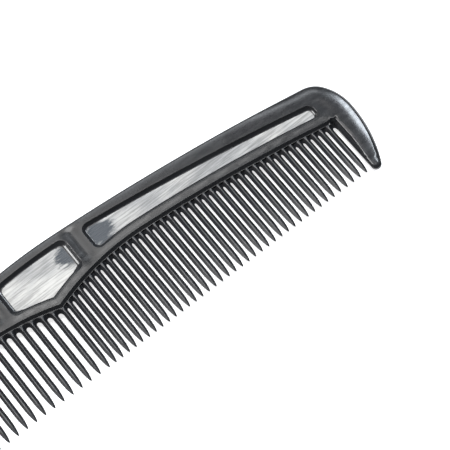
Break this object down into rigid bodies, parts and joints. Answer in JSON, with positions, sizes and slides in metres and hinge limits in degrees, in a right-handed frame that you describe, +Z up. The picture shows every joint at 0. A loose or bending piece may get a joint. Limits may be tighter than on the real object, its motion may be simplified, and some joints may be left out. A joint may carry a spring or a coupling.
{
  "type": "dressing comb",
  "caption": "Flat moulded hair comb with close teeth on one half and wider teeth on the other, a recessed arched spine and rounded end guards.",
  "frame": {"origin": "middle of the underside of the comb as it lies flat: half way along its length, half way between its guard tips and the top of its back, on the surface that it lies on", "axes": "+X along the comb towards the end with the close teeth, +Y from the tooth tips towards the back, +Z up through the thickness"},
  "size_m": [0.19, 0.0416, 0.0045],
  "materials": {
    "satin_black": "satin moulded black plastic, lightly rubbed along its edges",
    "recess_black": "polished black plastic with fine scratches along its length",
    "tooth_black": "smooth semi-gloss black plastic"
  },
  "bodies": {
    "root": {"spine_frame": "satin_black", "fine_side_panel": "recess_black", "middle_panel": "recess_black", "wide_side_panel": "recess_black", "fine_root_web": "tooth_black", "wide_root_web": "tooth_black", "centre_tooth": "tooth_black", "fine_teeth": "tooth_black", "wide_teeth": "tooth_black", "fine_end_guard": "satin_black", "wide_end_guard": "satin_black"}
  },
  "joints": []
}
